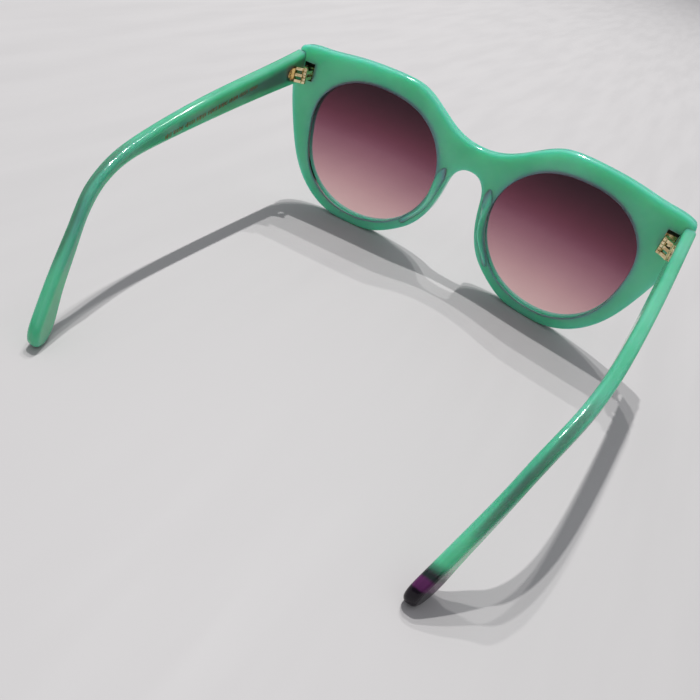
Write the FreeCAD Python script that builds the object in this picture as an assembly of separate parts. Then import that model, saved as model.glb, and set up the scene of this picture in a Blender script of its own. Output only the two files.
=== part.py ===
import FreeCAD, Part
import math
import os

V = FreeCAD.Vector

# Cat eye sunglasses, millimetres, lying open on a table.
# While they are drawn, the pieces sit in the front's own frame: x to the wearer's left, y towards the
# temple tips with 0 on the back face at the bridge, z up with 0 on the line through the lens centres.
# The finished pieces are then moved so that z = 0 is the table and y = 0 is half the overall length.

# front: a slab of acetate bent round an upright axis behind the wearer
FRONT_THICKNESS = 4.0
FRONT_RADIUS = 344.0          # of the back face
RIM_DROP = 29.5               # from the lens centres down to the table
FRONT_ROUND = 1.0             # rounding of the outer edges
CORNER_RADIUS = 2.4
CORNER_CENTRE = (67.1, 22.9)  # upper outer corner
BRIDGE_TOP = 16.2
ARCH_TOP = 7.7

# lenses, held in a groove in the middle of the rim
LENS_CENTRE = (35.5, -2.5)
LENS_RADIUS = 132.0
LENS_THICKNESS = 1.8
LENS_FORWARD = 1.45           # middle of the lens ahead of the middle of the slab
GROOVE_DEPTH = 0.6
GROOVE_PLAY = 0.03
APERTURE_ROUND = 0.3

# nose pads, bonded to the back of the rims beside the nose: level sections of the left one, each with
# its z, the x of its foot on the nose side, the x of its edge beside the lens, and its height
PAD_SECTIONS = [(5.5, 7.6, 9.6, 0.1), (1.5, 7.4, 10.7, 1.1), (-3.5, 8.4, 10.6, 2.3), (-9.0, 9.7, 11.5, 2.5),
                (-14.5, 12.3, 14.6, 1.6), (-20.0, 16.0, 18.6, 0.1)]
PAD_SUNK = 1.5                # how deep the pad's blank reaches before it is cut to the back face
PAD_CREST = 0.7               # from the top of the slope to the edge beside the lens

# hinges: five knuckles on an upright pin
PIN_X = 63.6
PIN_Y = 10.4
PIN_RADIUS = 0.6
PIN_PLAY = 0.04
KNUCKLE_RADIUS = 1.0
KNUCKLE_HEIGHT = 0.96
KNUCKLE_GAP = 0.05
STACK_BOTTOM = 14.3
KNUCKLE_CHAMFER = 0.14
POCKET_X = (62.9, 66.4)
POCKET_Z = (14.4, 20.3)
POCKET_DEPTH = 2.4
POCKET_PLAY = 0.05
HINGE_BASE = 0.7              # thickness of the plate on the floor of the pocket
HINGE_BASE_TOP = 18.6
ARM_WIDTH = 1.0
PLATE_THICKNESS = 1.0
PLATE_PROUD = 0.1             # how far the plate stands out of the temple's inner face
BOSS_PROUD = 0.35             # the same for the raised middle of the plate
BOSS_INSET = 0.65             # from the plate's edge to the raised middle
PLATE_Y = (11.9, 16.4)
ROOT_Y = (11.9, 13.3)
HEAD_RADIUS = 0.85
HEAD_HEIGHT = 0.25
SLOT_WIDTH = 0.25
SLOT_DEPTH = 0.15

# temples
TEMPLE_THICKNESS = 3.5
TEMPLE_ROUND = 1.2
TEMPLE_GAP = 0.15             # end of the temple to the back face of the front
TEMPLE_REACH = 130.0          # back face at the bridge to the tip
CORE_THICKNESS = 1.0
CORE_INSET = 1.25              # from the temple's outer face
EAR_ANGLE = 50.0              # slope of the ear piece
TIP_JOINT = 97.0              # distance of the tip's joint along that slope
TEMPLE_OUTER = [(70.1, 5), (69.8, 25), (69.3, 45), (68.5, 65), (66.9, 85), (65.2, 95), (62.7, 105),
                (59.5, 115), (55.8, 125), (52.2, 134)]  # outer face from above, (x, y)

FAR = 60.0                    # further than any piece reaches from the middle of the front


def open_spline(points):
    curve = Part.BSplineCurve()
    curve.interpolate(points)
    return curve.toShape()


def loop_edges(points, cuts):
    """Edges of the smooth closed curve through the points, cut at the points with these numbers."""
    thrice = points * 3 + points[:1]
    lengths = [0.0]
    for start, end in zip(thrice, thrice[1:]):
        lengths.append(lengths[-1] + start.distanceToPoint(end))
    curve = Part.BSplineCurve()
    curve.interpolate(Points=thrice, Parameters=lengths)
    count = len(points)
    edges = []
    for start, end in zip(cuts, cuts[1:]):
        span = curve.copy()
        span.segment(lengths[count + start], lengths[count + end])
        edges.append(span.toShape())
    return edges


def line(start, end):
    return Part.LineSegment(start, end).toShape()


def mirrored(shape):
    return shape.mirror(V(0, 0, 0), V(1, 0, 0))


def box(x, y, z):
    return Part.makeBox(x[1] - x[0], y[1] - y[0], z[1] - z[0], V(x[0], y[0], z[0]))


def post(radius, x, y, z):
    """Upright cylinder from height z[0] to z[1]."""
    return Part.makeCylinder(radius, z[1] - z[0], V(x, y, z[0]), V(0, 0, 1))


def back_face_y(x):
    return FRONT_RADIUS - math.sqrt(FRONT_RADIUS ** 2 - x ** 2)


def drum(radius):
    """Upright cylinder round the axis that the front is bent about."""
    return post(radius, 0, FRONT_RADIUS, (-FAR, FAR))


def through_front(face):
    """The prism of a face in the xz plane, right through the front."""
    prism = face.extrude(V(0, FAR, 0))
    prism.translate(V(0, -FAR / 2, 0))
    return prism


# ---- front and lenses

def outline_points():
    """The left half of the front's outline, from the top of the bridge to the top of the nose arch."""
    x, z = CORNER_CENTRE
    brow = [(0, BRIDGE_TOP), (5, 16.7), (10, 18.4), (15, 21.3), (20, 24.5), (25, 26.8), (31, 27.7),
            (39, 27.8), (50, 27.2), (60, 26.1)]
    corner = [(x + CORNER_RADIUS * math.cos(turn), z + CORNER_RADIUS * math.sin(turn))
              for turn in (math.radians(82), math.radians(40), math.radians(0))]
    side = [(69.8, 12), (66.9, -1), (60.6, -16.8), (53.2, -24.9), (45.2, -28.7), (36.5, -RIM_DROP),
            (28, -28.6), (19.8, -24.4), (12.9, -18.2), (8.9, -10.5), (6.9, -1.5), (5.1, 4.9), (2.6, 7.2),
            (0, ARCH_TOP)]
    return brow + corner + side


def aperture_wire(grow):
    """The lens opening's outline, moved outwards by grow, in two edges."""
    cx, cz = LENS_CENTRE
    points = [(59.9, -2.5), (58.2, 10.6), (48.1, 19.4), (35.5, 21.1), (23.4, 18.5), (14.0, 9.9),
              (11.1, -2.5), (15.1, -14.3), (23.8, -22.7), (35.5, -25.9), (47.6, -23.5), (56.7, -14.7)]
    grown = []
    for x, z in points:
        scale = 1 + grow / math.hypot(x - cx, z - cz)
        grown.append(V(cx + (x - cx) * scale, 0, cz + (z - cz) * scale))
    return Part.Wire(loop_edges(grown, (0, len(grown) // 2, len(grown))))


def lens_shape(grow, play):
    """A meniscus that follows the front's bend, grown past the opening by grow."""
    turn = math.asin(LENS_CENTRE[0] / FRONT_RADIUS)
    outwards = FRONT_RADIUS + FRONT_THICKNESS / 2 + LENS_FORWARD - LENS_RADIUS
    centre = V(outwards * math.sin(turn), FRONT_RADIUS - outwards * math.cos(turn), LENS_CENTRE[1])
    half = LENS_THICKNESS / 2 + play
    ball = Part.makeSphere(LENS_RADIUS + half, centre, V(0, 0, 1))
    hollow = Part.makeSphere(LENS_RADIUS - half, centre, V(0, 0, 1))
    prism = Part.Face(aperture_wire(grow + play)).extrude(V(0, FAR / 4, 0))
    prism.translate(V(0, -FAR / 8, 0))
    return prism.common(ball).cut(hollow).Solids[0]


def front_half():
    half = outline_points()
    points = [V(x, 0, z) for x, z in half] + [V(-x, 0, z) for x, z in reversed(half[1:-1])]
    edge = loop_edges(points, (0, len(half) - 1))[0]
    wire = Part.Wire([edge, line(V(0, 0, ARCH_TOP), V(0, 0, BRIDGE_TOP))])
    slab = through_front(Part.Face(wire)).common(drum(FRONT_RADIUS + FRONT_THICKNESS))
    slab = slab.cut(drum(FRONT_RADIUS)).Solids[0]
    rims = [edge for edge in slab.Edges if edge.BoundBox.XLength > FAR]
    return slab.makeFillet(FRONT_ROUND, rims)


def opened_half(half):
    """The half front with the lens opening, its groove and the hinge pocket."""
    half = half.cut(through_front(Part.Face(aperture_wire(0)))).Solids[0]
    mouths = [edge for edge in half.Edges
              if edge.BoundBox.XLength > 40 and edge.BoundBox.XMax < CORNER_CENTRE[0] - 5]
    half = half.makeFillet(APERTURE_ROUND, mouths)
    pocket = box(POCKET_X, (back_face_y(PIN_X) - POCKET_DEPTH, FAR), POCKET_Z)
    return half.cut(lens_shape(GROOVE_DEPTH, GROOVE_PLAY)).cut(pocket)


# ---- nose pads

def pad_section(z, foot, edge, height):
    """Level section of the left pad: a wedge whose long slope faces the nose."""
    bottom = back_face_y(foot) - PAD_SUNK
    crest = edge - PAD_CREST
    rise = back_face_y(crest) + height
    halfway = V((foot + crest) / 2, (bottom + PAD_SUNK + rise) / 2, z)
    points = [V(foot, bottom, z), V(foot, bottom + PAD_SUNK - 0.2, z), halfway, V(crest, rise, z),
              V(edge, rise - PAD_CREST, z), V(edge, bottom, z)]
    return Part.Wire(loop_edges(points, (0, len(points))))


def nose_pad():
    loft = Part.makeLoft([pad_section(*section) for section in PAD_SECTIONS], True)
    return loft.common(drum(FRONT_RADIUS)).Solids[0]


# ---- hinges

def knuckle_levels(first):
    """Heights of the knuckles of one half of the hinge, the first being 0 or 1."""
    step = KNUCKLE_HEIGHT + KNUCKLE_GAP
    bottoms = [STACK_BOTTOM + step * place for place in range(first, 5, 2)]
    return [(bottom, bottom + KNUCKLE_HEIGHT) for bottom in bottoms]


def stack_top():
    return STACK_BOTTOM + 5 * KNUCKLE_HEIGHT + 4 * KNUCKLE_GAP


def knuckle(level):
    solid = post(KNUCKLE_RADIUS, PIN_X, PIN_Y, level)
    rims = [edge for edge in solid.Edges if isinstance(edge.Curve, Part.Circle)]
    return solid.makeChamfer(KNUCKLE_CHAMFER, rims)


def front_hinge():
    floor = back_face_y(PIN_X) - POCKET_DEPTH
    base_x = (POCKET_X[0] + POCKET_PLAY, POCKET_X[1] - POCKET_PLAY)
    base_z = (POCKET_Z[0] + POCKET_PLAY, HINGE_BASE_TOP)
    solid = box(base_x, (floor, floor + HINGE_BASE), base_z)
    for level in knuckle_levels(1):
        arm = box((PIN_X - ARM_WIDTH / 2, PIN_X + ARM_WIDTH / 2), (floor, PIN_Y), level)
        solid = solid.fuse(arm.fuse(knuckle(level)))
    bore = post(PIN_RADIUS, PIN_X, PIN_Y, (STACK_BOTTOM, stack_top()))
    return solid.cut(bore).removeSplitter().Solids[0]


def temple_face_x():
    return TEMPLE_OUTER[0][0] - TEMPLE_THICKNESS


def round_ended(proud, inset):
    """Plate set into the temple's inner face, round at its rear end, standing out by proud."""
    middle = (STACK_BOTTOM + stack_top()) / 2
    radius = (stack_top() - STACK_BOTTOM) / 2 - inset
    start = V(temple_face_x() - proud, PLATE_Y[1] - radius - inset, middle)
    square = box((start.x, start.x + PLATE_THICKNESS), (PLATE_Y[0], start.y), (middle - radius, middle + radius))
    return square.fuse(Part.makeCylinder(radius, PLATE_THICKNESS, start, V(1, 0, 0)))


def temple_hinge():
    face = temple_face_x()
    whole = (STACK_BOTTOM, stack_top())
    solid = round_ended(PLATE_PROUD, 0).fuse(round_ended(BOSS_PROUD, BOSS_INSET))
    root_x = (face - BOSS_PROUD - 0.6, face)
    solid = solid.fuse(box(root_x, ROOT_Y, whole))
    for level in knuckle_levels(0):
        bottom, top = level
        along = V(root_x[0] + 0.5 - PIN_X, ROOT_Y[0] + 0.7 - PIN_Y, 0)
        side = V(-along.y, along.x, 0).normalize() * (ARM_WIDTH / 2)
        pin = V(PIN_X, PIN_Y, bottom)
        corners = [pin + side, pin - side, pin - side + along, pin + side + along, pin + side]
        arm = Part.Face(Part.makePolygon(corners)).extrude(V(0, 0, top - bottom))
        solid = solid.fuse(arm.fuse(knuckle(level)))
    bore = post(PIN_RADIUS + PIN_PLAY, PIN_X, PIN_Y, whole)
    return solid.cut(bore).removeSplitter().Solids[0]


def hinge_screw():
    top = stack_top()
    shank = post(PIN_RADIUS, PIN_X, PIN_Y, (STACK_BOTTOM - 0.05, top + PIN_PLAY))
    head = post(HEAD_RADIUS, PIN_X, PIN_Y, (top + PIN_PLAY, top + PIN_PLAY + HEAD_HEIGHT))
    slot = box((PIN_X - 1, PIN_X + 1), (PIN_Y - SLOT_WIDTH / 2, PIN_Y + SLOT_WIDTH / 2),
               (top + PIN_PLAY + HEAD_HEIGHT - SLOT_DEPTH, top + 1))
    return shank.fuse(head).cut(slot).removeSplitter().Solids[0]


# ---- temples

def temple_side():
    """Prism of the temple's side view, from before the hinge round the ear bend to the tip."""
    points = [(5, 23.7), (26, 19.9), (57, 15.0), (84, 9.8), (94, 7.6), (100.8, 5.1), (106.0, 2.0),
              (111.2, -3.8), (119.6, -12.6), (127.4, -21.3), (129.9, -25.4), (129.6, -28.2), (127.2, -29.5),
              (124.2, -28.7), (119, -21.1), (112.1, -10.9), (106.8, -3.4), (102.3, 0.4), (95.5, 3.4),
              (80.7, 5.6), (59.6, 7.7), (27.8, 10.9), (5, 13.0)]
    edge = open_spline([V(0, y, z) for y, z in points])
    end = line(edge.lastVertex().Point, edge.firstVertex().Point)
    return Part.Face(Part.Wire([edge, end])).extrude(V(2 * FAR, 0, 0))


def temple_band(outer, inner):
    """Prism of a strip of the temple's top view, between two distances in from its outer face."""
    near = open_spline([V(x - outer, y, 0) for x, y in TEMPLE_OUTER])
    far = open_spline([V(x - inner, y, 0) for x, y in TEMPLE_OUTER])
    ends = [line(near.firstVertex().Point, far.firstVertex().Point),
            line(near.lastVertex().Point, far.lastVertex().Point)]
    prism = Part.Face(Part.Wire(Part.__sortEdges__([near, far] + ends))).extrude(V(0, 0, 2 * FAR))
    prism.translate(V(0, 0, -FAR))
    return prism


def temple_blank():
    solid = temple_side().common(temple_band(0, TEMPLE_THICKNESS)).Solids[0]
    solid = solid.makeFillet(TEMPLE_ROUND, [edge for edge in solid.Edges if edge.Length > FAR])
    return solid.common(drum(FRONT_RADIUS - TEMPLE_GAP)).Solids[0]


def core_wire():
    """Steel core: a blade behind the hinge that tapers to a wire and follows the ear bend."""
    spine = [(14, 17.2, 2.6), (28, 15.2, 1.7), (42, 13.3, 0.8), (62, 10.8, 0.7), (80, 8.0, 0.7),
             (93, 5.9, 0.7), (100.7, 3.2, 0.7), (106.7, -1.0, 0.7), (111.8, -7.2, 0.7), (117.4, -14.0, 0.7)]
    upper, lower = [], []
    for place, (y, z, half) in enumerate(spine):
        before = spine[max(place - 1, 0)]
        after = spine[min(place + 1, len(spine) - 1)]
        along = V(0, after[0] - before[0], after[1] - before[1]).normalize()
        across = V(0, -along.z, along.y) * half
        upper.append(V(0, y, z) + across)
        lower.append(V(0, y, z) - across)
    edges = [open_spline(upper), line(upper[-1], lower[-1]), open_spline(lower), line(lower[0], upper[0])]
    side = Part.Face(Part.Wire(Part.__sortEdges__(edges))).extrude(V(2 * FAR, 0, 0))
    return side.common(temple_band(CORE_INSET, CORE_INSET + CORE_THICKNESS)).Solids[0]


def beyond_tip_joint():
    """Everything past the joint of the dark tip, square to the ear piece."""
    block = box((0, 2 * FAR), (TIP_JOINT, 4 * FAR), (-2 * FAR, 2 * FAR))
    block.rotate(V(0, 0, 0), V(1, 0, 0), -EAR_ANGLE)
    return block


# ---- assembly

def left_and_right(name, shape):
    return {name + "_left": shape, name + "_right": mirrored(shape)}


def all_pieces():
    half = opened_half(front_half())
    front = half.fuse(mirrored(half)).Solids[0]
    hinge, core, blank = temple_hinge(), core_wire(), temple_blank()
    temple = blank.cut(hinge).cut(core).Solids[0]
    right = mirrored(temple)
    past = mirrored(beyond_tip_joint())
    pieces = {"front": front, "temple_left": temple, "temple_right": right.cut(past).Solids[0],
              "temple_tip_right": right.common(past).Solids[0]}
    pieces.update(left_and_right("lens", lens_shape(GROOVE_DEPTH, 0)))
    pieces.update(left_and_right("nose_pad", nose_pad()))
    pieces.update(left_and_right("front_hinge", front_hinge()))
    pieces.update(left_and_right("hinge_screw", hinge_screw()))
    pieces.update(left_and_right("temple_hinge", hinge))
    pieces.update(left_and_right("core_wire", core))
    return pieces


os.makedirs("parts", exist_ok=True)
for name, shape in all_pieces().items():
    shape.translate(V(0, (FRONT_THICKNESS - TEMPLE_REACH) / 2, RIM_DROP))
    shape.exportStep("parts/" + name + ".step")
    print(name, "valid" if shape.isValid() else "NOT VALID", round(shape.Volume, 1), "mm3")
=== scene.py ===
import math

import bmesh
import bpy
from mathutils import Euler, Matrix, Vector
from mathutils.bvhtree import BVHTree


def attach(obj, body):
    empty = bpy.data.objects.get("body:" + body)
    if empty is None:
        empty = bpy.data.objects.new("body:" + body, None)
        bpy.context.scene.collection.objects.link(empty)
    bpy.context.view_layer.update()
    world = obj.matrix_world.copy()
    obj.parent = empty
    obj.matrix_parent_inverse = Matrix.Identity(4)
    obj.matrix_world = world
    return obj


# Looks of the cat eye sunglasses, metres, in the part's own frame: +X to the wearer's left, +Y towards
# the temple tips, +Z up, z = 0 on the table. Every piece of the part keeps its own solid.
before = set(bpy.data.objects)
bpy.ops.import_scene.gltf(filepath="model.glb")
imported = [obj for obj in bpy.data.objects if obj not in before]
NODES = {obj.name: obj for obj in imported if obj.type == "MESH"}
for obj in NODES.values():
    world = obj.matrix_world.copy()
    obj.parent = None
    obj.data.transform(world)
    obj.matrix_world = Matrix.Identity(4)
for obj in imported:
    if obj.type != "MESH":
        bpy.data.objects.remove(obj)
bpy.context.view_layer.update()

MM = 0.001
BACK_FACE_Y = -63.0 * MM      # back face of the front at the bridge
LENS_CENTRE_Z = 29.5 * MM     # above the table
FRONT_RADIUS = 344 * MM       # of the bend of the front
EAR_ANGLE = math.radians(50)  # slope of the ear pieces
TIP_JOINT = 97.0 * MM         # along that slope, from the back face and the lens centres' height
POCKET_X = (62.9 * MM, 66.4 * MM)                                  # hinge pockets, on either side
POCKET_Z = (LENS_CENTRE_Z + 14.4 * MM, LENS_CENTRE_Z + 20.3 * MM)
POCKET_SHADE_REACH = 3.4 * MM       # reach of the painted pocket shade: from the back face, past the pocket's floor, short of the outer face
CORE_BLADE = (12 * MM, 46 * MM)        # the core's tall blade behind the hinge, along the arm
CORE_EAR = ((55 * MM, 63.9 * MM), (85 * MM, 57.5 * MM))   # core's distance down the slope, and its x
FOIL_START = 33.4 * MM        # first foil dash, from the back face
FOIL_LENGTH = 42 * MM
FOIL_HEIGHT = 15.4 * MM       # of the first dash, above the lens centres
FOIL_FALL = 0.18              # of the row, per length
FOIL_COUNT = 60
FOIL_WORD = 7                 # every seventh dash is left out

FLOOR_COLOUR = (0.525, 0.508, 0.503)
SPOT_HEIGHT = 2.0             # three ceiling spots in a row, ahead of the front and a little to its left
GREEN = (0.110, 0.480, 0.345)
GREEN_PALE = (0.165, 0.550, 0.420)
PAD_GREEN = (0.170, 0.720, 0.470)
PAD_PALE = (0.220, 0.780, 0.540)
ARM_GREEN = (0.080, 0.420, 0.250)
ARM_PALE = (0.125, 0.480, 0.310)
CORE_SHADE = (0.070, 0.150, 0.105)
PURPLE = (0.110, 0.022, 0.100)
NEAR_BLACK = (0.010, 0.006, 0.012)


# ---- node helpers

def new_material(name):
    material = bpy.data.materials.new(name)
    material.use_nodes = True
    tree = material.node_tree
    tree.nodes.clear()
    output = tree.nodes.new("ShaderNodeOutputMaterial")
    return material, tree, output


def principled(tree, output, **values):
    shader = tree.nodes.new("ShaderNodeBsdfPrincipled")
    for socket, value in values.items():
        shader.inputs[socket.replace("_", " ")].default_value = value
    tree.links.new(shader.outputs["BSDF"], output.inputs["Surface"])
    return shader


def noise(tree, scale, detail=3.0, roughness=0.5, stretch=(1, 1, 1)):
    """Noise of the object's own position; scale is in features per metre."""
    place = tree.nodes.new("ShaderNodeTexCoord")
    mapping = tree.nodes.new("ShaderNodeMapping")
    mapping.inputs["Scale"].default_value = stretch
    texture = tree.nodes.new("ShaderNodeTexNoise")
    texture.inputs["Scale"].default_value = scale
    texture.inputs["Detail"].default_value = detail
    texture.inputs["Roughness"].default_value = roughness
    tree.links.new(place.outputs["Object"], mapping.inputs["Vector"])
    tree.links.new(mapping.outputs["Vector"], texture.inputs["Vector"])
    return texture.outputs["Fac"]


def math_node(tree, operation, *inputs, clamp=False):
    node = tree.nodes.new("ShaderNodeMath")
    node.operation = operation
    node.use_clamp = clamp
    for socket, value in zip(node.inputs, inputs):
        if isinstance(value, (int, float)):
            socket.default_value = value
        else:
            tree.links.new(value, socket)
    return node.outputs[0]


def ramp(tree, value, low, high, start=0.0, end=1.0):
    """start where value is at low, end where it is at high, smooth between."""
    node = tree.nodes.new("ShaderNodeMapRange")
    node.interpolation_type = "SMOOTHSTEP"
    tree.links.new(value, node.inputs["Value"])
    for socket, number in (("From Min", low), ("From Max", high), ("To Min", start), ("To Max", end)):
        node.inputs[socket].default_value = number
    return node.outputs["Result"]


def mix(tree, share, first, second):
    node = tree.nodes.new("ShaderNodeMix")
    node.data_type = "RGBA"
    tree.links.new(share, node.inputs["Factor"])
    for socket, colour in ((node.inputs[6], first), (node.inputs[7], second)):
        if isinstance(colour, tuple):
            socket.default_value = (*colour, 1)
        else:
            tree.links.new(colour, socket)
    return node.outputs[2]


def within(tree, value, low, high):
    """1 where value is between low and high, a hair past them too."""
    off = math_node(tree, "ABSOLUTE", math_node(tree, "SUBTRACT", value, (low + high) / 2))
    return math_node(tree, "LESS_THAN", off, (high - low) / 2 + 0.01 * MM)


def position(tree):
    """x, y and z of the point in the part's frame, which stays with the piece when it moves."""
    place = tree.nodes.new("ShaderNodeTexCoord")
    split = tree.nodes.new("ShaderNodeSeparateXYZ")
    tree.links.new(place.outputs["Object"], split.inputs["Vector"])
    return split.outputs["X"], split.outputs["Y"], split.outputs["Z"]


def bump(tree, shader, height, distance, strength=1.0):
    node = tree.nodes.new("ShaderNodeBump")
    node.inputs["Strength"].default_value = strength
    node.inputs["Distance"].default_value = distance
    tree.links.new(height, node.inputs["Height"])
    tree.links.new(node.outputs["Normal"], shader.inputs["Normal"])


# ---- materials

def acetate_base(name, depth=0.012, dark=GREEN, pale=GREEN_PALE):
    """Polished acetate, milky and slightly see-through, with faint clouds and polishing waves."""
    material, tree, output = new_material(name)
    shader = principled(tree, output, IOR=1.48, Subsurface_Weight=1.0, Subsurface_Scale=depth,
                        Subsurface_Radius=(0.30, 1.0, 0.62), Coat_Weight=0.2, Coat_Roughness=0.02)
    clouds = noise(tree, 45, detail=4)
    colour = mix(tree, ramp(tree, clouds, 0.35, 0.65), dark, pale)
    hairs = noise(tree, 900, detail=2)
    tree.links.new(ramp(tree, hairs, 0.3, 0.8, 0.07, 0.16), shader.inputs["Roughness"])
    bump(tree, shader, noise(tree, 130, detail=1), 0.00004, 0.35)
    return material, tree, shader, colour


def front_acetate():
    """The front: green, with painted shade, nearly black, on the insides of the hinge pockets."""
    material, tree, shader, colour = acetate_base("acetate_front")
    x, y, z = position(tree)
    side = math_node(tree, "ABSOLUTE", x)
    inside_x = within(tree, side, *POCKET_X)
    inside_z = within(tree, z, *POCKET_Z)
    bow = math_node(tree, "MULTIPLY", math_node(tree, "MULTIPLY", x, x), 0.5 / FRONT_RADIUS)
    depth = math_node(tree, "SUBTRACT", math_node(tree, "ADD", bow, BACK_FACE_Y), y)
    pocket_shade = math_node(tree, "MULTIPLY", inside_x, inside_z)
    pocket_shade = math_node(tree, "MULTIPLY", pocket_shade, math_node(tree, "LESS_THAN", depth, POCKET_SHADE_REACH))
    # painted shade: the insides of the hinge pockets are coloured nearly black and lose their subsurface
    # light, standing in for the shade deep in the recess
    colour = mix(tree, pocket_shade, colour, (0.010, 0.035, 0.018))
    tree.links.new(colour, shader.inputs["Base Color"])
    tree.links.new(math_node(tree, "SUBTRACT", 1.0, pocket_shade), shader.inputs["Subsurface Weight"])
    return material


def temple_acetate(name, dark_end):
    """The arms: the steel core shows through behind the hinge and in the ear piece, and one arm darkens
    towards its tip."""
    material, tree, shader, colour = acetate_base(name, 0.010, ARM_GREEN, ARM_PALE)
    x, y, z = position(tree)
    along = math_node(tree, "SUBTRACT", y, BACK_FACE_Y)
    middle = ramp_line(tree, along, 14 * MM, 46.7 * MM, 42 * MM, 42.6 * MM)
    off = math_node(tree, "ABSOLUTE", math_node(tree, "SUBTRACT", z, middle))
    half = ramp_line(tree, along, CORE_BLADE[0], 3.0 * MM, CORE_BLADE[1], 0.7 * MM)
    blade = ramp(tree, math_node(tree, "SUBTRACT", off, half), -0.9 * MM, 0.7 * MM, 1.0, 0.0)
    fade = ramp(tree, along, 22 * MM, 52 * MM, 0.6, 0.0)
    colour = mix(tree, math_node(tree, "MULTIPLY", blade, fade), colour, CORE_SHADE)
    slope = ear_distance(tree, y, z)
    core_x = ramp_line(tree, slope, *CORE_EAR[0], *CORE_EAR[1])
    side = math_node(tree, "ABSOLUTE", x)
    off_core = math_node(tree, "ABSOLUTE", math_node(tree, "SUBTRACT", side, core_x))
    line = math_node(tree, "MULTIPLY", ramp(tree, off_core, 0.3 * MM, 1.3 * MM, 0.75, 0.0),
                     ramp(tree, slope, 46 * MM, 56 * MM))
    line = math_node(tree, "MULTIPLY", line, ramp(tree, slope, 80 * MM, 92 * MM, 1.0, 0.0))
    colour = mix(tree, line, colour, CORE_SHADE)
    if dark_end:
        near_end = ramp(tree, slope, TIP_JOINT - 3.5 * MM, TIP_JOINT)
        colour = mix(tree, near_end, colour, (0.02, 0.03, 0.03))
    tree.links.new(colour, shader.inputs["Base Color"])
    return material


def ramp_line(tree, value, first, at_first, second, at_second):
    node = tree.nodes.new("ShaderNodeMapRange")
    node.clamp = False
    tree.links.new(value, node.inputs["Value"])
    for socket, number in (("From Min", first), ("From Max", second), ("To Min", at_first),
                           ("To Max", at_second)):
        node.inputs[socket].default_value = number
    return node.outputs["Result"]


def ear_distance(tree, y, z):
    """Distance down the slope of the ear piece."""
    back = math_node(tree, "MULTIPLY", math_node(tree, "SUBTRACT", y, BACK_FACE_Y), math.cos(EAR_ANGLE))
    down = math_node(tree, "MULTIPLY", math_node(tree, "SUBTRACT", LENS_CENTRE_Z, z), math.sin(EAR_ANGLE))
    return math_node(tree, "ADD", back, down)


def dark_tip_acetate():
    """The end of the right arm: a purple band, then near black."""
    material, tree, output = new_material("acetate_dark_tip")
    shader = principled(tree, output, IOR=1.40, Specular_IOR_Level=0.35,
                        Subsurface_Weight=0.2, Subsurface_Scale=0.002, Subsurface_Radius=(0.8, 0.3, 0.8))
    x, y, z = position(tree)
    place = math_node(tree, "ADD", ear_distance(tree, y, z),
                      math_node(tree, "MULTIPLY", noise(tree, 350), 1.2 * MM))
    purple = mix(tree, ramp(tree, place, TIP_JOINT + 1.2 * MM, TIP_JOINT + 2.2 * MM), (0.02, 0.03, 0.03),
                 PURPLE)
    colour = mix(tree, ramp(tree, place, TIP_JOINT + 4.0 * MM, TIP_JOINT + 4.8 * MM), purple, NEAR_BLACK)
    tree.links.new(colour, shader.inputs["Base Color"])
    tree.links.new(ramp(tree, noise(tree, 900, detail=2), 0.3, 0.8, 0.07, 0.16), shader.inputs["Roughness"])
    return material


def lens_tint():
    """Tinted lens, plum at the top to pink at the bottom; each of its two faces takes half of the tint."""
    material, tree, output = new_material("lens_gradient")
    x, y, z = position(tree)
    height = ramp_line(tree, z, LENS_CENTRE_Z - 28 * MM, 0.0, LENS_CENTRE_Z + 24 * MM, 1.0)
    wander = math_node(tree, "MULTIPLY", math_node(tree, "SUBTRACT", noise(tree, 40), 0.5), 0.03)
    tint = tree.nodes.new("ShaderNodeValToRGB")
    tint.color_ramp.interpolation = "B_SPLINE"
    stops = tint.color_ramp.elements
    stops[0].position, stops[0].color = 0.0, (0.94, 0.79, 0.78, 1)
    stops[1].position, stops[1].color = 1.0, (0.15, 0.085, 0.11, 1)
    for place, colour in ((0.24, (0.82, 0.64, 0.65, 1)), (0.53, (0.50, 0.305, 0.375, 1)),
                          (0.68, (0.385, 0.195, 0.25, 1)), (0.86, (0.205, 0.12, 0.15, 1))):
        stop = stops.new(place)
        stop.color = colour
    tree.links.new(math_node(tree, "ADD", height, wander), tint.inputs["Fac"])
    through = tree.nodes.new("ShaderNodeBsdfTransparent")
    tree.links.new(tint.outputs["Color"], through.inputs["Color"])
    mirror = tree.nodes.new("ShaderNodeBsdfGlossy")
    mirror.inputs["Roughness"].default_value = 0.02
    fresnel = tree.nodes.new("ShaderNodeFresnel")
    fresnel.inputs["IOR"].default_value = 1.3
    blend = tree.nodes.new("ShaderNodeMixShader")
    tree.links.new(fresnel.outputs["Fac"], blend.inputs["Fac"])
    tree.links.new(through.outputs["BSDF"], blend.inputs[1])
    tree.links.new(mirror.outputs["BSDF"], blend.inputs[2])
    tree.links.new(blend.outputs["Shader"], output.inputs["Surface"])
    return material


def gold():
    """Gold-plated brass with drawn scratches and a little tarnish in the dips."""
    material, tree, output = new_material("gold_plate")
    shader = principled(tree, output, Metallic=1.0)
    scratches = noise(tree, 1800, detail=4, roughness=0.6, stretch=(1, 1, 6))
    tarnish = noise(tree, 900, detail=3)
    colour = mix(tree, ramp(tree, tarnish, 0.42, 0.68), (0.93, 0.78, 0.48), (0.60, 0.43, 0.20))
    tree.links.new(colour, shader.inputs["Base Color"])
    tree.links.new(ramp(tree, scratches, 0.35, 0.7, 0.09, 0.22), shader.inputs["Roughness"])
    bump(tree, shader, scratches, 0.00001, 0.3)
    return material


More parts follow.
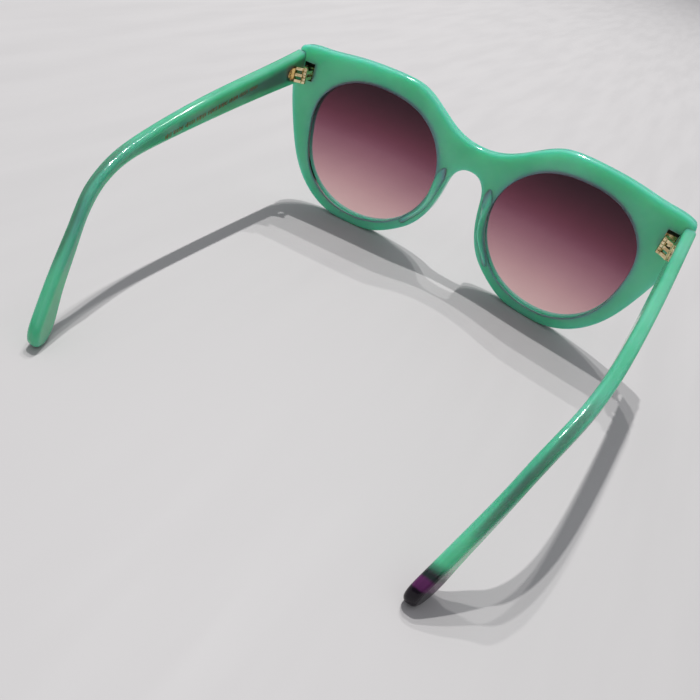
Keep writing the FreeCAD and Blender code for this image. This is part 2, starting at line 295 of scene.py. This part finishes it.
def steel():
    """Drawn steel of the core, with grain along the arm."""
    material, tree, output = new_material("core_steel")
    shader = principled(tree, output, Metallic=1.0)
    grain = noise(tree, 1500, detail=3, stretch=(1, 0.1, 1))
    colour = mix(tree, ramp(tree, grain, 0.3, 0.7), (0.36, 0.35, 0.33), (0.55, 0.54, 0.52))
    tree.links.new(colour, shader.inputs["Base Color"])
    tree.links.new(ramp(tree, grain, 0.3, 0.7, 0.3, 0.45), shader.inputs["Roughness"])
    return material


def foil():
    """Worn gold foil stamped into the arm."""
    material, tree, output = new_material("stamped_foil")
    shader = principled(tree, output, Metallic=0.6)
    wear = noise(tree, 1600, detail=4)
    colour = mix(tree, ramp(tree, wear, 0.42, 0.62), (0.27, 0.16, 0.06), (0.14, 0.12, 0.05))
    tree.links.new(colour, shader.inputs["Base Color"])
    tree.links.new(ramp(tree, wear, 0.3, 0.7, 0.35, 0.6), shader.inputs["Roughness"])
    return material


def floor_paint():
    """Pale painted wood with a faint grain."""
    material, tree, output = new_material("floor_pale")
    shader = principled(tree, output, IOR=1.45)
    grain = noise(tree, 90, detail=4, stretch=(1, 0.12, 1))
    colour = mix(tree, ramp(tree, grain, 0.3, 0.7), tuple(c * 0.975 for c in FLOOR_COLOUR), FLOOR_COLOUR)
    tree.links.new(colour, shader.inputs["Base Color"])
    tree.links.new(ramp(tree, grain, 0.3, 0.7, 0.55, 0.65), shader.inputs["Roughness"])
    return material


def paint(name, material):
    data = NODES[name].data
    data.materials.clear()
    data.materials.append(material)
    for face in data.polygons:
        face.use_smooth = True


# ---- pieces made here

def foil_marks():
    """A row of short generic foil dashes along the inner face of the left arm."""
    arm = NODES["temple_left"]
    tree = BVHTree.FromObject(arm, bpy.context.evaluated_depsgraph_get())
    mesh = bmesh.new()
    for place in range(FOIL_COUNT):
        if place % FOIL_WORD == FOIL_WORD - 1:
            continue
        run = FOIL_LENGTH * place / (FOIL_COUNT - 1)
        along = FOIL_START + run
        middle = LENS_CENTRE_Z + FOIL_HEIGHT - run * FOIL_FALL
        tall = (1.2, 1.6, 1.1, 1.5, 1.3)[place % 5] * MM
        wide = (0.42, 0.30, 0.54, 0.36)[place % 4] * MM
        add_dash(mesh, tree, BACK_FACE_Y + along, middle, wide, tall)
    data = bpy.data.meshes.new("foil_marks")
    mesh.to_mesh(data)
    mesh.free()
    marks = bpy.data.objects.new("foil_marks", data)
    bpy.context.scene.collection.objects.link(marks)
    data.materials.append(foil())
    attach(marks, "left_temple")


def add_dash(mesh, tree, y, z, wide, tall):
    """One dash: a low rounded pad that sits on the arm's inner face."""
    proud, sunk = 0.03 * MM, 0.05 * MM
    rings = []
    for out, shrink in ((-sunk, 1.0), (proud * 0.5, 1.0), (proud, 0.75)):
        ring = []
        for turn in range(8):
            angle = math.tau * (turn + 0.5) / 8
            dy = wide / 2 * shrink * max(-0.92, min(0.92, 1.3 * math.cos(angle)))
            dz = tall / 2 * shrink * max(-0.92, min(0.92, 1.3 * math.sin(angle)))
            hit, normal, _, _ = tree.ray_cast(Vector((0, y + dy, z + dz)), Vector((1, 0, 0)))
            ring.append(mesh.verts.new(hit + normal * out))
        rings.append(ring)
    for low, high in zip(rings, rings[1:]):
        for turn in range(8):
            after = (turn + 1) % 8
            mesh.faces.new((low[turn], low[after], high[after], high[turn]))
    mesh.faces.new(rings[-1])
    mesh.faces.new(list(reversed(rings[0])))


# ---- stage

def make_floor():
    bpy.ops.mesh.primitive_plane_add(size=24, location=(0, 0, 0))
    floor = bpy.context.active_object
    floor.name = "floor"
    floor.data.materials.append(floor_paint())


def area_light(name, place, target, size, power, colour=(1, 1, 1)):
    data = bpy.data.lights.new(name, "AREA")
    data.shape = "DISK"
    data.size = size
    data.energy = power
    data.color = colour
    light = bpy.data.objects.new(name, data)
    light.location = place
    light.rotation_euler = (Vector(target) - Vector(place)).to_track_quat("-Z", "Y").to_euler()
    bpy.context.scene.collection.objects.link(light)


def make_lights():
    for name, lean, power in (("spot_near", 0.204, 20.0), ("spot_middle", 0.407, 13.0),
                              ("spot_far", 0.572, 10.0)):
        area_light(name, (0.22 * SPOT_HEIGHT, BACK_FACE_Y - lean * SPOT_HEIGHT, SPOT_HEIGHT),
                   (0, BACK_FACE_Y, 0), 0.035, power)
    world = bpy.data.worlds.new("soft_world")
    world.use_nodes = True
    tree = world.node_tree
    place = tree.nodes.new("ShaderNodeTexCoord")
    split = tree.nodes.new("ShaderNodeSeparateXYZ")
    tree.links.new(place.outputs["Generated"], split.inputs["Vector"])
    sky = mix(tree, ramp(tree, split.outputs["Z"], 0.05, 0.75), (0.11, 0.11, 0.12), (0.49, 0.50, 0.53))
    tree.links.new(sky, tree.nodes["Background"].inputs["Color"])
    tree.nodes["Background"].inputs["Strength"].default_value = 1.0
    bpy.context.scene.world = world


def make_camera():
    data = bpy.data.cameras.new("camera")
    data.sensor_width = 36
    data.lens = 33.94
    data.clip_start = 0.005
    camera = bpy.data.objects.new("camera", data)
    camera.location = (-0.05133, 0.14908, 0.11554)
    camera.rotation_euler = Euler((math.radians(51.224), math.radians(-15.070), math.radians(-149.697)))
    bpy.context.scene.collection.objects.link(camera)
    bpy.context.scene.camera = camera


def main():
    pads, tree, shader, colour = acetate_base("acetate_pads", 0.0025, PAD_GREEN, PAD_PALE)
    tree.links.new(colour, shader.inputs["Base Color"])
    brass, tint, core = gold(), lens_tint(), steel()
    paint("front", front_acetate())
    paint("temple_left", temple_acetate("acetate_left_arm", False))
    paint("temple_right", temple_acetate("acetate_right_arm", True))
    paint("temple_tip_right", dark_tip_acetate())
    for side in ("left", "right"):
        paint("nose_pad_" + side, pads)
        paint("lens_" + side, tint)
        paint("core_wire_" + side, core)
        for piece in ("front_hinge_", "temple_hinge_", "hinge_screw_"):
            paint(piece + side, brass)
    foil_marks()
    make_floor()
    make_lights()
    make_camera()
    bpy.context.scene.view_settings.view_transform = "Standard"


main()
